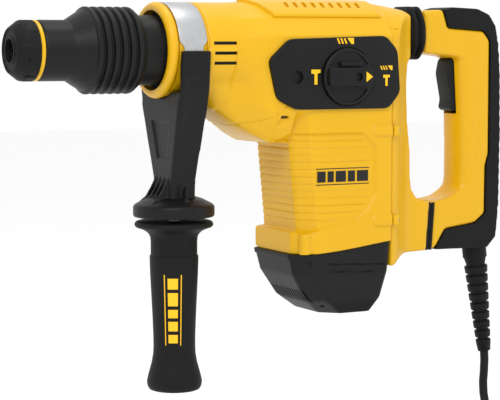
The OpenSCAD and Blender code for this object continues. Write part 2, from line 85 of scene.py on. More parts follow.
def addPrism(bm, outline, low, high, axis="y", bevel=0.0, segments=3):
    # a closed outline drawn on the two other axes, pulled from low to high along the axis
    place = {"x": lambda a, b: (low, a, b),
             "y": lambda a, b: (a, low, b),
             "z": lambda a, b: (a, b, low)}[axis]
    step = {"x": (high - low, 0, 0), "y": (0, high - low, 0), "z": (0, 0, high - low)}[axis]
    corners = [bm.verts.new(place(a, b)) for a, b in outline]
    face = bm.faces.new(corners)
    pulled = bmesh.ops.extrude_face_region(bm, geom=[face])["geom"]
    moved = [v for v in pulled if isinstance(v, bmesh.types.BMVert)]
    bmesh.ops.translate(bm, vec=step, verts=moved)
    corners += moved
    if bevel:
        edges = list({e for v in corners for e in v.link_edges})
        bmesh.ops.bevel(bm, geom=edges, offset=bevel, segments=segments, profile=0.5,
                        affect="EDGES", clamp_overlap=True, material=-1)
    return corners


def addBox(bm, low, high, bevel=0.0, segments=3):
    outline = [(low[0], low[2]), (high[0], low[2]), (high[0], high[2]), (low[0], high[2])]
    return addPrism(bm, outline, low[1], high[1], "y", bevel, segments)


def addTurned(bm, profile, centre, axis="x", steps=96):
    # a profile of (along, radius) points spun round an axis through the centre
    along = {"x": Vector((1, 0, 0)), "y": Vector((0, 1, 0)), "z": Vector((0, 0, 1))}[axis]
    out = Vector((0, 0, 1)) if axis != "z" else Vector((1, 0, 0))
    centre = Vector(centre)
    verts = [bm.verts.new(centre + along * a + out * max(r, 1e-4)) for a, r in profile]
    edges = [bm.edges.new((verts[i], verts[(i + 1) % len(verts)])) for i in range(len(verts))]
    made = bmesh.ops.spin(bm, geom=verts + edges, cent=centre, axis=along, angle=2 * math.pi,
                          steps=steps, use_merge=True)
    return made


def arcPoints(cx, cy, radius, startDeg, endDeg, count):
    return [(cx + radius * math.cos(math.radians(startDeg + (endDeg - startDeg) * i / count)),
             cy + radius * math.sin(math.radians(startDeg + (endDeg - startDeg) * i / count)))
            for i in range(count + 1)]


def roundedOutline(points, radius, count=5):
    # the same outline with each corner turned into an arc-like curve
    rounded = []
    n = len(points)
    for i, point in enumerate(points):
        p = Vector(point[:2])
        r = point[2] if len(point) > 2 else radius
        before, after = Vector(points[i - 1][:2]), Vector(points[(i + 1) % n][:2])
        cut = min(r, (before - p).length * 0.48, (after - p).length * 0.48)
        a, b = p + (before - p).normalized() * cut, p + (after - p).normalized() * cut
        for k in range(count + 1):
            t = k / count
            q = a * (1 - t) ** 2 + p * 2 * t * (1 - t) + b * t ** 2
            rounded.append((q.x, q.y))
    return rounded


def bmeshObject(bm, name):
    mesh = bpy.data.meshes.new(name)
    bmesh.ops.remove_doubles(bm, verts=bm.verts, dist=0.001)
    bmesh.ops.recalc_face_normals(bm, faces=bm.faces)
    bm.to_mesh(mesh)
    bm.free()
    thing = bpy.data.objects.new(name, mesh)
    bpy.context.scene.collection.objects.link(thing)
    return thing


def applyModifiers(thing):
    bpy.context.view_layer.update()
    graph = bpy.context.evaluated_depsgraph_get()
    mesh = bpy.data.meshes.new_from_object(thing.evaluated_get(graph))
    old = thing.data
    thing.modifiers.clear()
    thing.data = mesh
    bpy.data.meshes.remove(old)


def reskinned(bm, name, voxel, rounds):
    # one even skin over the closed shapes in bm, eased so that its edges are rounded
    body = bmeshObject(bm, name)
    skin = body.modifiers.new("skin", "REMESH")
    skin.mode = "VOXEL"
    skin.voxel_size = voxel
    skin.adaptivity = 0.0
    ease = body.modifiers.new("ease", "SMOOTH")
    ease.factor = 0.5
    ease.iterations = rounds
    applyModifiers(body)
    result = bmesh.new()
    result.from_mesh(body.data)
    bpy.data.objects.remove(body)
    return result


def moulded(name, solids, voxel, rounds):
    # overlapping solids merged into one skin with small fillets, as a mould gives
    bm = bmesh.new()
    for make in solids:
        make(bm)
    return reskinned(bm, name, voxel, rounds)


def carved(bm, tool, name):
    # the shape less the tool, both closed; the edges of the cut stay sharp
    piece = bmeshObject(bm, name + "_work")
    cutter = bmeshObject(tool, name + "_cutter")
    cut = piece.modifiers.new("cut", "BOOLEAN")
    cut.operation = "DIFFERENCE"
    cut.solver = "EXACT"
    cut.use_self = True
    cut.object = cutter
    applyModifiers(piece)
    bpy.data.objects.remove(cutter)
    result = bmesh.new()
    result.from_mesh(piece.data)
    bpy.data.objects.remove(piece)
    return result


def smoothStep(t):
    t = min(max(t, 0.0), 1.0)
    return t * t * (3 - 2 * t)


def insideDistance(point, outline):
    # how far a 2-D point lies inside a convex outline given counter-clockwise, negative outside
    nearest = 1e9
    for i, (ax, ay) in enumerate(outline):
        bx, by = outline[(i + 1) % len(outline)]
        length = math.hypot(bx - ax, by - ay)
        nearest = min(nearest, ((bx - ax) * (point[1] - ay) - (by - ay) * (point[0] - ax)) / length)
    return nearest


# The camera stands well in front, a little above the axis, with a long lens.
cameraPlace = {"from": (-613.8, -1345.8, 8.4), "turn": 27.7, "down": 5.08, "lens": 129.6}


def placeCamera():
    data = bpy.data.cameras.new("camera")
    data.lens = cameraPlace["lens"]
    data.sensor_width = 36
    data.clip_end = 20
    camera = bpy.data.objects.new("camera", data)
    camera.location = Vector(cameraPlace["from"]) * mm
    camera.rotation_euler = (math.radians(90 - cameraPlace["down"]), 0,
                             -math.radians(cameraPlace["turn"]))
    bpy.context.scene.collection.objects.link(camera)
    bpy.context.scene.camera = camera


placeCamera()
print("camera placed")


# Materials: one finish per kind of surface, all procedural on object coordinates.

def addNode(tree, kind, settings=None, links=None):
    node = tree.nodes.new(kind)
    for key, value in (settings or {}).items():
        if isinstance(key, str) and hasattr(node, key):
            setattr(node, key, value)
        else:
            node.inputs[key].default_value = value
    for key, source in (links or {}).items():
        tree.links.new(source, node.inputs[key])
    return node


def newMaterial(name, roughness, metallic=0.0, ior=None, colour=None):
    material = bpy.data.materials.new(name)
    material.use_nodes = True
    tree = material.node_tree
    shader = tree.nodes["Principled BSDF"]
    shader.inputs["Roughness"].default_value = roughness
    shader.inputs["Metallic"].default_value = metallic
    if ior and colour is None:
        shader.inputs["Specular IOR Level"].default_value = 0.2 if roughness > 0.44 else 0.33
    if ior:
        shader.inputs["IOR"].default_value = ior
    if colour:
        shader.inputs["Base Color"].default_value = linearColour(colour)
        material.diffuse_color = linearColour(colour)
    return material, tree, shader


def grainMaterial(name, look):
    # a base colour that wanders a little, a roughness that wanders, and a fine raised grain
    material, tree, shader = newMaterial(name, look["roughness"], look.get("metallic", 0.0),
                                         look.get("ior"))
    place = addNode(tree, "ShaderNodeTexCoord").outputs["Object"]
    cloud = addNode(tree, "ShaderNodeTexNoise", {"Scale": 1 / (look["cloudMm"] * mm), "Detail": 3.0},
                    {"Vector": place})
    tint = addNode(tree, "ShaderNodeMix", {"data_type": "RGBA"}, {0: cloud.outputs["Fac"]})
    tint.inputs[6].default_value = linearColour(look["colour"])
    tint.inputs[7].default_value = linearColour(look["colourTwo"])
    tree.links.new(tint.outputs[2], shader.inputs["Base Color"])
    grain = addNode(tree, "ShaderNodeTexNoise", {"Scale": 1 / (look["grainMm"] * mm), "Detail": 2.0},
                    {"Vector": place})
    rough = addNode(tree, "ShaderNodeMapRange", {"To Min": look["roughness"] - look["roughSpread"],
                    "To Max": look["roughness"] + look["roughSpread"]}, {"Value": cloud.outputs["Fac"]})
    tree.links.new(rough.outputs["Result"], shader.inputs["Roughness"])
    bump = addNode(tree, "ShaderNodeBump", {"Strength": look["bump"], "Distance": look["bumpMm"] * mm},
                   {"Height": grain.outputs["Fac"]})
    tree.links.new(bump.outputs["Normal"], shader.inputs["Normal"])
    material.diffuse_color = linearColour(look["colour"])
    return material


# glass-filled nylon, injection moulded in a spark-eroded mould: strong yellow, soft satin highlights
yellowNylon = grainMaterial("yellowNylonSatin", {
    "colour": "#DDAB03", "colourTwo": "#D8A500", "cloudMm": 60, "roughness": 0.36, "roughSpread": 0.03,
    "grainMm": 0.7, "bump": 0.16, "bumpMm": 0.12, "ior": 1.53})
# the same nylon in black: even and matt, with a broad grey sheen on its edges
blackNylon = grainMaterial("blackNylonMatt", {
    "colour": "#0C0D0D", "colourTwo": "#121313", "cloudMm": 30, "roughness": 0.45, "roughSpread": 0.05,
    "grainMm": 0.6, "bump": 0.22, "bumpMm": 0.12, "ior": 1.53})
# soft thermoplastic rubber moulded over the grips: darker, duller, with a fine open grain
softRubber = grainMaterial("softRubberOvermould", {
    "colour": "#0A0B0B", "colourTwo": "#101111", "cloudMm": 18, "roughness": 0.6, "roughSpread": 0.06,
    "grainMm": 0.9, "bump": 0.35, "bumpMm": 0.15, "ior": 1.5})
# chloroprene rubber, extruded round the cord: smooth and a little dusty
cordRubber = grainMaterial("cordRubberExtruded", {
    "colour": "#0F0F10", "colourTwo": "#161617", "cloudMm": 25, "roughness": 0.5, "roughSpread": 0.06,
    "grainMm": 1.2, "bump": 0.12, "bumpMm": 0.08, "ior": 1.5})
# steel strip, rolled and tumbled: pale grey with a soft, broken reflection
bandSteel = grainMaterial("bandSteelTumbled", {
    "colour": "#C9CACB", "colourTwo": "#B4B6B8", "cloudMm": 5, "roughness": 0.38, "roughSpread": 0.07,
    "grainMm": 0.5, "bump": 0.25, "bumpMm": 0.06, "metallic": 1.0})
# alloy steel, turned, hardened and ground: darker grey, sharper reflection
groundSteel = grainMaterial("groundSteelHardened", {
    "colour": "#9C9EA1", "colourTwo": "#86888B", "cloudMm": 8, "roughness": 0.28, "roughSpread": 0.05,
    "grainMm": 0.35, "bump": 0.12, "bumpMm": 0.04, "metallic": 1.0})
# aluminium, die cast and left as it comes: grey, grainy, dull
castAluminium = grainMaterial("castAluminiumRaw", {
    "colour": "#A7A9AB", "colourTwo": "#8F9193", "cloudMm": 10, "roughness": 0.5, "roughSpread": 0.08,
    "grainMm": 0.8, "bump": 0.4, "bumpMm": 0.15, "metallic": 1.0})
# lamination steel, stamped and stacked
coreSteel = grainMaterial("coreSteelStacked", {
    "colour": "#5C5E61", "colourTwo": "#4B4D50", "cloudMm": 6, "roughness": 0.5, "roughSpread": 0.08,
    "grainMm": 0.6, "bump": 0.4, "bumpMm": 0.12, "metallic": 1.0})
# enamelled copper wire, wound
woundCopper = grainMaterial("woundCopperEnamelled", {
    "colour": "#B4683A", "colourTwo": "#9A5530", "cloudMm": 4, "roughness": 0.35, "roughSpread": 0.08,
    "grainMm": 0.8, "bump": 0.6, "bumpMm": 0.3, "metallic": 1.0})
# brass sheet, pressed
pressedBrass = grainMaterial("pressedBrassBright", {
    "colour": "#C9A24B", "colourTwo": "#B38E3E", "cloudMm": 6, "roughness": 0.3, "roughSpread": 0.06,
    "grainMm": 0.5, "bump": 0.1, "bumpMm": 0.05, "metallic": 1.0})
# brush carbon, pressed from powder
pressedCarbon = grainMaterial("pressedCarbonBrush", {
    "colour": "#242424", "colourTwo": "#303030", "cloudMm": 3, "roughness": 0.6, "roughSpread": 0.05,
    "grainMm": 0.5, "bump": 0.3, "bumpMm": 0.1})
# pad-printing ink: flat, slightly raised, a little glossier than the nylon under it
yellowInk = grainMaterial("yellowInkPrinted", {
    "colour": "#F9C31C", "colourTwo": "#F4B90A", "cloudMm": 10, "roughness": 0.42, "roughSpread": 0.03,
    "grainMm": 0.4, "bump": 0.1, "bumpMm": 0.03, "ior": 1.5})
blackInk = grainMaterial("blackInkPrinted", {
    "colour": "#111112", "colourTwo": "#161617", "cloudMm": 10, "roughness": 0.42, "roughSpread": 0.03,
    "grainMm": 0.4, "bump": 0.1, "bumpMm": 0.03, "ior": 1.5})

slotMaterials = {
    "yellow_shell": yellowNylon, "black_nylon": blackNylon, "black_rubber": softRubber,
    "steel": groundSteel, "band_steel": bandSteel, "cast_metal": castAluminium, "core_iron": coreSteel,
    "copper": woundCopper, "brass": pressedBrass, "carbon": pressedCarbon, "cord_rubber": cordRubber}


def dressCadNodes():
    # every CAD node takes the finish of its slot in the record; replaced nodes stay hidden
    slotOf = {part["node"]: part["material_slot"] for part in frame["record"]["subparts"]}
    for name, node in frame["nodes"].items():
        node.data.materials.clear()
        node.data.materials.append(slotMaterials[slotOf[name]])


dressCadNodes()
print("CAD nodes dressed")


# Mains cord: it hangs from the handle and lies in a tied coil, its plug beside it.
cord = {"radius": 4.0, "coilCentre": (288.0, -60.0), "coilRadius": 45.0, "floor": -386.0,
        "route": [(335.3, 0, -275), (335.8, 0, -284), (335.4, 0, -294), (334.6, 0, -304),
                  (333.8, -2, -314), (333.2, -6, -324), (333, -13, -333), (333, -23, -341),
                  (333, -34, -346.5), (333, -46, -348.6)],
        "tail": [(235, -60, -381), (235, -52, -381), (235, -44, -381), (235, -27, -381)],
        # each turn's ring, from the top down (0 the middle, 1 the outer, -1 the inner), then its layer
        "turns": [(0, 4), (1, 3), (0, 3), (-1, 3), (-1, 2), (0, 2), (1, 2), (1, 1), (0, 1), (-1, 1),
                  (-1, 0), (0, 0), (1, 0), (1, 0)]}


def coilPoints(perTurn=36, halfTurns=25):
    points = []
    pitch = 2 * cord["radius"]
    low = cord["floor"] + 1 + cord["radius"]
    for i in range(1, halfTurns * perTurn // 2 + 1):
        turn, part = divmod(i / perTurn, 1.0)
        ringA, layerA = cord["turns"][int(turn)]
        ringB, layerB = cord["turns"][int(turn) + 1]
        radius = cord["coilRadius"] + pitch * (ringA + (ringB - ringA) * part)
        height = low + pitch * (layerA + (layerB - layerA) * smoothStep((part - 0.55) / 0.45))
        angle = -2 * math.pi * i / perTurn
        points.append((cord["coilCentre"][0] + radius * math.cos(angle),
                       cord["coilCentre"][1] + radius * math.sin(angle), height))
    return points


def pathLength(points):
    return sum((Vector(b) - Vector(a)).length for a, b in zip(points, points[1:]))


def makeCord():
    points = [Vector(p) * mm for p in cord["route"] + coilPoints() + cord["tail"][1:]]
    curve = bpy.data.curves.new("mains_cord", "CURVE")
    curve.dimensions = "3D"
    curve.bevel_depth = cord["radius"] * mm
    curve.bevel_resolution = 3
    curve.use_fill_caps = True
    line = curve.splines.new("POLY")
    line.points.add(len(points) - 1)
    for spot, p in zip(line.points, points):
        spot.co = (*p, 1)
    curve.materials.append(cordRubber)
    piece = bpy.data.objects.new("mains_cord", curve)
    bpy.context.scene.collection.objects.link(piece)
    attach(piece, "rear_handle")
    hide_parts("cord", "cord_coil")
    return piece, pathLength(points)


def makePlug():
    bm = bmesh.new()
    addPrism(bm, roundedOutline([(219, -5), (229, -5), (241, -5), (251, -5), (253, 9), (250, 25),
                                 (220, 25), (217, 9)], 4), -386, -373, "z", 2.2, 4)
    for i in range(5):
        addTurned(bm, [(0, 0), (0, 5.9 - 0.3 * i), (2.2, 6.1 - 0.3 * i), (2.2, 0)],
                  (235, -7.6 - 4 * i, -381), "y", 32)
    addTurned(bm, [(-22, 0), (-22, 4.9), (2, 5.2), (2, 0)], (235, -5, -381), "y", 32)
    body = addPiece("plug_body", bm, "rear_handle", cordRubber, ("plug",))
    bm = bmesh.new()
    for x in (225.5, 244.5):
        addTurned(bm, [(0, 0), (0, 2.4), (17.6, 2.4), (18.7, 1.6), (18.9, 0)], (x, 25, -379.5), "y", 24)
    pins = addPiece("plug_pins", bm, "rear_handle", groundSteel)
    return body, pins


cordPiece, cordLength = makeCord()
plugBody, plugPins = makePlug()
print("cord made:", round(cordLength, 3), "m")


# Chuck: dust cap, ring, locking sleeve and the collar behind them.

def makeNoseCap():
    # rubber dust cap with a lip round the socket, a flat face and nine grip pads round its side
    bm = bmesh.new()
    addTurned(bm, [(-116, 9.5), (-121.3, 9.5), (-121.3, 10.6), (-120.2, 11.4), (-119.9, 12.2),
                   (-119.9, 16.8), (-121.1, 17.6), (-120.6, 18.6), (-113.8, 23.7), (-112.6, 24.15),
                   (-102.9, 24.15), (-102.9, 15), (-116, 15)], (0, 0, 0), "x", 144)
    for v in bm.verts:
        if -113 < v.co.x < -103.5 and math.hypot(v.co.y, v.co.z) > 20:
            wave = math.cos(9 * math.atan2(v.co.z, v.co.y))
            shrink = 1 - 0.03 * smoothStep((wave - 0.2) / 0.3)
            v.co.y *= shrink
            v.co.z *= shrink
    addPiece("nose_cap_rubber", bm, "spindle", softRubber, ("nose_cap",))
    bm = bmesh.new()
    for i in range(9):
        angle = 2 * math.pi * (i + 0.5) / 9
        addBox(bm, (-112.3, -5.4, 22.3), (-103.4, 5.4, 24.2), 0.8, 2)
        fresh = [v for v in bm.verts if not v.tag]
        bmesh.ops.rotate(bm, verts=fresh, cent=(0, 0, 0), matrix=Matrix.Rotation(angle, 3, "X"))
        for v in fresh:
            v.tag = True
    addPiece("nose_cap_pads", bm, "spindle", softRubber)


def makeLockingSleeve():
    # turned in one profile: narrow front, cone, then rounded ribs
    rib = {"first": -57.5, "pitch": 7.0, "count": 6, "crest": 35.3, "valley": 33.0}
    profile = [(-99, 15.1), (-99, 23.2), (-98.2, 24.0), (-97, 24.4), (-74.6, 24.4), (-73.3, 24.9),
               (-61.6, 31.9), (-60.2, 32.6)]
    for i in range(rib["count"]):
        x = rib["first"] + rib["pitch"] * i
        for a, r in ((-1.9, 0.0), (-1.2, 0.72), (-0.3, 0.98), (0.6, 1.0), (1.8, 0.9), (2.8, 0.62),
                     (3.6, 0.1)):
            profile.append((x + a, rib["valley"] + (rib["crest"] - rib["valley"]) * r))
    profile += [(-17.6, 32.6), (-16.3, 31.6), (-16.1, 30.6), (-16.1, 29.1), (-46, 29.1), (-46, 22.5),
                (-76, 22.5), (-76, 15.1)]
    bm = bmesh.new()
    addTurned(bm, profile, (0, 0, 0), "x", 128)
    addPiece("locking_sleeve_grip", bm, "sleeve", blackNylon, ("locking_sleeve",),
             sharpAngle=28)


def makeChuckRing():
    bm = bmesh.new()
    addTurned(bm, [(-102.8, 15.1), (-102.8, 23.6), (-102.2, 24.3), (-99.9, 24.3), (-99.35, 23.6),
                   (-99.35, 15.1)], (0, 0, 0), "x", 128)
    addPiece("chuck_ring_yellow", bm, "spindle", yellowNylon, ("chuck_ring",))


def makeNoseCollar():
    # rounded bead, with a fine step where it meets the clamping land
    bead = arcPoints(5.2, 34.9, 4.6, 200, 20, 10)
    bm = bmesh.new()
    addTurned(bm, [(9, 33), (0.9, 33)] + bead + [(9, 38.6)], (0, 0, 0), "x", 128)
    addPiece("nose_collar_bead", bm, "hammer_body", yellowNylon, ("nose_collar",))


makeNoseCap()
makeLockingSleeve()
makeChuckRing()
makeNoseCollar()
print("chuck made")


# Housings of barrel, gears and motor.
body = {"halfWidth": 45.0, "topRadius": 41.0, "barrelRadius": 39.5, "seam": 95.0, "rear": 206.3,
        "bossHeights": (-68.5, -145), "bossRadius": 4.4, "screwOut": 40.5}


def bodySection(grow=0.0, low=-58.0):
    # cross-section of the gear housing, as points on Y and Z, counter-clockwise
    w = body["halfWidth"] + grow
    r = body["topRadius"] + grow
    shoulder = math.radians(38)
    right = [(w - 8, low - grow), (w, low + 8), (w, 12),
             (r * math.cos(shoulder), r * math.sin(shoulder) + 3)]
    arc = arcPoints(0, 0, r, 50, 130, 16)
    left = [(-y, z) for y, z in reversed(right)]
    return right + arc + left


def sectionRadius(angle, outline):
    # distance from the hammer axis to the outline in one direction
    d = Vector((math.cos(angle), math.sin(angle)))
    best = 0.0
    for i, a in enumerate(outline):
        b = outline[(i + 1) % len(outline)]
        ex, ey = b[0] - a[0], b[1] - a[1]
        cross = d.x * ey - d.y * ex
        if abs(cross) < 1e-9:
            continue
        t = (a[0] * ey - a[1] * ex) / cross
        u = (a[0] * d.y - a[1] * d.x) / cross
        if t > 0 and -1e-6 <= u <= 1 + 1e-6:
            best = max(best, t)
    return best


def addRings(bm, rings):
    # each ring is a closed row of points; neighbours are bridged and the two ends filled
    loops = []
    for points in rings:
        ring = [bm.verts.new(point) for point in points]
        loops.append([bm.edges.new((a, b)) for a, b in zip(ring, ring[1:] + ring[:1])])
    for first, second in zip(loops, loops[1:]):
        bmesh.ops.bridge_loops(bm, edges=first + second)
    for edges in (loops[0], loops[-1]):
        bmesh.ops.edgeloop_fill(bm, edges=edges)


def addLoft(bm, levels, count=96):
    # levels are (x, radius as a function of the angle)
    angles = [2 * math.pi * k / count for k in range(count)]
    addRings(bm, [[(x, radiusAt(a) * math.cos(a), radiusAt(a) * math.sin(a)) for a in angles]
                  for x, radiusAt in levels])


def joinSection():
    # the section where front and motor housings meet, with the belly below
    return [(-33, -77), (33, -77), (44.8, -54)] + bodySection()[1:-1] + [(-44.8, -54)]


def frontRadius(x, angle, outline):
    # round barrel that swells into the belly below and into the square body behind
    target = sectionRadius(angle, outline)
    side = smoothStep((x - 62) / 33)
    depth = outlineHeight([(30, 39.5), (37, 39.5), (48, 50), (62, 61), (80, 71), (95, 77), (120, 77)], x)
    down = (depth - body["barrelRadius"]) / 37.5
    weight = smoothStep((-math.sin(angle) - 0.6) / 0.4)
    return body["barrelRadius"] + (target - body["barrelRadius"]) * (side + (down - side) * weight)


def seamGroove(p):
    # depth of the moulded parting line below the selector, at a point on the skin
    line = [(106, -44), (103.5, -46), (99, -51), (95, -54.5), (84, -58.6), (68.4, -61.4), (58, -61.4)]
    nearest = 9.0
    for (ax, az), (bx, bz) in zip(line, line[1:]):
        ex, ez = bx - ax, bz - az
        t = min(max(((p.x - ax) * ex + (p.z - az) * ez) / (ex * ex + ez * ez), 0), 1)
        nearest = min(nearest, math.hypot(p.x - ax - t * ex, p.z - az - t * ez))
    return 0.7 * (1 - smoothStep((nearest - 0.2) / 0.9))


def makeFrontHousing():
    outline = joinSection()
    solids = [lambda bm: addLoft(bm, [(x, lambda a, x=x: frontRadius(x, a, outline))
                                      for x in (35.2, 42, 48, 55, 62, 68, 74, 80, 86, 91, 95, 99)])]
    slots = [4.6 - 8.1 * i for i in range(3)]
    bm = moulded("front_housing", solids, 1.3, 5)
    for v in bm.verts:
        # soft side lobes below the three slots
        p = v.co
        lobe = insideDistance((p.x, p.z), [(34, 2), (34, -52), (50, -50), (60, -38), (61.5, 2)])
        if p.z < 6 and abs(p.y) > 16:
            v.co += v.normal * 1.6 * smoothStep((lobe + 1) / 5)
        if p.z < -40 and abs(p.y) > 4:
            v.co -= v.normal * seamGroove(p)
    tool = bmesh.new()
    addBox(tool, (body["seam"] - 0.03, -60, -100), (110, 60, 60))
    for z in slots:
        addBox(tool, (39.5, -50, z), (60.5, -37.2, z + 2.6))
    addTurned(tool, [(30, 0), (30, 34), (100, 34), (100, 0)], (0, 0, 0), "x", 64)
    bm = carved(bm, tool, "front_housing")
    addPiece("front_housing_shell", bm, "hammer_body", yellowNylon, ("front_housing",))
    bm = bmesh.new()
    addTurned(bm, [(9, 34), (9, 37.9), (35.5, 37.9), (35.5, 34)], (0, 0, 0), "x", 128)
    addTurned(bm, [(33.9, 37), (33.9, 39.3), (34.5, 39.8), (35.3, 39.3), (35.3, 37)], (0, 0, 0), "x", 128)
    addPiece("clamping_land", bm, "hammer_body", yellowNylon)
    # black plates at the bottom of the three blind slots: painted shade, so that the slots read dark
    # inside
    bm = bmesh.new()
    for z in slots:
        addBox(bm, (38.5, -37.6, z - 0.8), (61.5, -35.6, z + 3.4))
    addPiece("slot_painted_shade", bm, "hammer_body", blackNylon)


recess = {"outline": [(90, -70), (90, -154), (143.6, -150), (172.5, -143), (184, -134), (190.5, -122),
                      (190.5, -82), (181.2, -73), (168.6, -64), (124.6, -64), (112, -70)],
          "depth": 2.5, "grooveFirst": -76.0, "groovePitch": 6.1, "grooveDepth": 0.75}


def columnPlan(front, w=45.0):
    return [(front, -29), (front + 3, -33), (front + 15, -w + 1.2), (front + 22, -w), (body["rear"], -w),
            (body["rear"], w), (front + 22, w), (front + 15, w - 1.2), (front + 3, 33), (front, 29)]


def addColumn(bm):
    corners = addPrism(bm, columnPlan(109.4), -166, -52, "z")
    for v in corners:
        if v.co.z < -100 and v.co.x < 140:
            v.co.x += 11
    return corners


def rimShift(x):
    # the joint between column and cap dips at the front and climbs to the rear
    return -5.0 + 8.4 * smoothStep((x - 122) / 130) * 1.35 if x > 122 else -5.0


def makeMotorHousing():
    section = bodySection()
    joined = joinSection()

    def addBelly(bm):
        # the section of the joint runs on into the column and closes to a round core there
        levels = [(x, lambda a: sectionRadius(a, joined)) for x in (91, 100, 112)]
        addLoft(bm, levels + [(130, lambda a: 40)])

    solids = [
        lambda bm: addPrism(bm, section, 91, body["rear"], "x"),
        addColumn,
        addBelly,
        lambda bm: addPrism(bm, columnPlan(115.4), -166, -152.5, "z"),
    ]
    foot = [(-166, 0), (-166, 5.4), (-155, 5.4), (-153, 4), (-153, 0)]
    for side in (-1, 1):
        for z in body["bossHeights"]:
            low, high = sorted((side * 38.0, side * 47.2))
            r, rear = body["bossRadius"], body["rear"]
            capsule = arcPoints(191, z, r, 90, 270, 8) + [(rear, z - r), (rear, z + r)]
            solids.append(lambda bm, plan=capsule, low=low, high=high: addPrism(bm, plan, low, high, "y"))
        solids.append(lambda bm, side=side: addTurned(bm, foot, (124.5, side * 38.6, 0), "z", 32))
    bm = moulded("motor_housing", solids, 1.05, 5)
    for v in bm.verts:
        p = v.co
        if p.z < -58:
            inside = insideDistance((p.x, p.z), recess["outline"])
            if abs(v.normal.z) < 0.8 and p.x < 191.5:
                line = ((p.z - recess["grooveFirst"]) / recess["groovePitch"] + 0.5) % 1.0 - 0.5
                groove = 1 - smoothStep((abs(line) * recess["groovePitch"] - 0.2) / 1.0)
                clear = p.x < 131 or not -116 < p.z < -95
                reach = smoothStep((inside - 3) / 2) * (1.0 if clear else 0.0)
                v.co -= v.normal * (recess["depth"] * smoothStep((inside + 1.2) / 2.6)
                                    + recess["grooveDepth"] * groove * reach)
        if p.z < -158:
            v.co.z += rimShift(p.x) * smoothStep((-158 - p.z) / 6)
        if p.z < -40 and p.x < 112:
            v.co -= v.normal * seamGroove(p)
        scoop = insideDistance((p.x, p.z), [(97, -62), (103, -64), (109, -58.5), (105.5, -54),
                                            (99.5, -54)])
        if abs(p.y) > 30 and p.z < -50:
            v.co -= v.normal * 1.7 * smoothStep((scoop + 0.5) / 2.5)
    tool = bmesh.new()
    addBox(tool, (80, -60, -100), (body["seam"] + 0.03, 60, 60))
    addBox(tool, (98.6, -47, -56.4), (106, -34, -53.9))
    addBox(tool, (98.6, 34, -56.4), (106, 47, -53.9))
    addPrism(tool, [(y * 0.92, z * 0.92) for y, z in bodySection(0, -60)], 90, 210, "x")
    addPrism(tool, [(122, -52), (127.5, -170), (212, -170), (212, -52)], -26, 26, "y")
    addPrism(tool, [(131, -30), (143, -40), (214, -40), (214, 40), (143, 40), (131, 30)], -172, -66, "z")
    bm = carved(bm, tool, "motor_housing")
    addPiece("motor_housing_shell", bm, "hammer_body", yellowNylon, ("motor_housing",))


def makeTopCover():
    # raised lid over the gear housing, its front edge slanted, nine slits in each shoulder
    plan = [(-34.4, 27.4), (-33.8, 30.2), (-27, 34.8), (-18, 39.4), (-9, 42), (0, 42.7), (9, 42),
            (18, 39.4), (27, 34.8), (33.8, 30.2), (34.4, 27.4), (26, 25), (-26, 25)]
    bm = moulded("top_cover", [lambda bm: addPrism(bm, plan, 80, 201, "x")], 1.0, 3)
    for v in bm.verts:
        front = 80 + 17 * min(abs(v.co.y) / 33, 1.0)
        if v.co.x < front:
            v.co.x = front
    tool = bmesh.new()
    for side in (-1, 1):
        for i in range(9):
            x = 113 + 8.6 * i
            low, high = sorted((side * 15.5, side * 25.5))
            slit = addPrism(tool, [(x, 30), (x + 3.4, 30), (x + 3.4, 44), (x, 44)], low, high, "y")
            for v in slit:
                v.co.x += 5.5 * (1 - abs(v.co.y) / 25.5)
    addPrism(tool, [(-30, 20), (-29, 28), (-20, 34), (-10, 37.6), (0, 38.6), (10, 37.6), (20, 34),
                    (29, 28), (30, 20)], 78, 203, "x")
    bm = carved(bm, tool, "top_cover")
    addPiece("top_cover_lid", bm, "hammer_body", yellowNylon, ("top_cover",))
    # a black strip under the slits: painted shade, so that the slits read dark inside
    bm = bmesh.new()
    for side in (-1, 1):
        low, high = sorted((side * 14.0, side * 27.0))
        addPrism(bm, [(106, 33.2), (190, 33.2), (190, 34.4), (106, 34.4)], low, high, "y")
    addPiece("slit_painted_shade", bm, "hammer_body", blackNylon)


def rearSection(x):
    # half-width of the rear cover along its length
    t = smoothStep((x - 207) / 34)
    return 42.5 - 21.5 * t


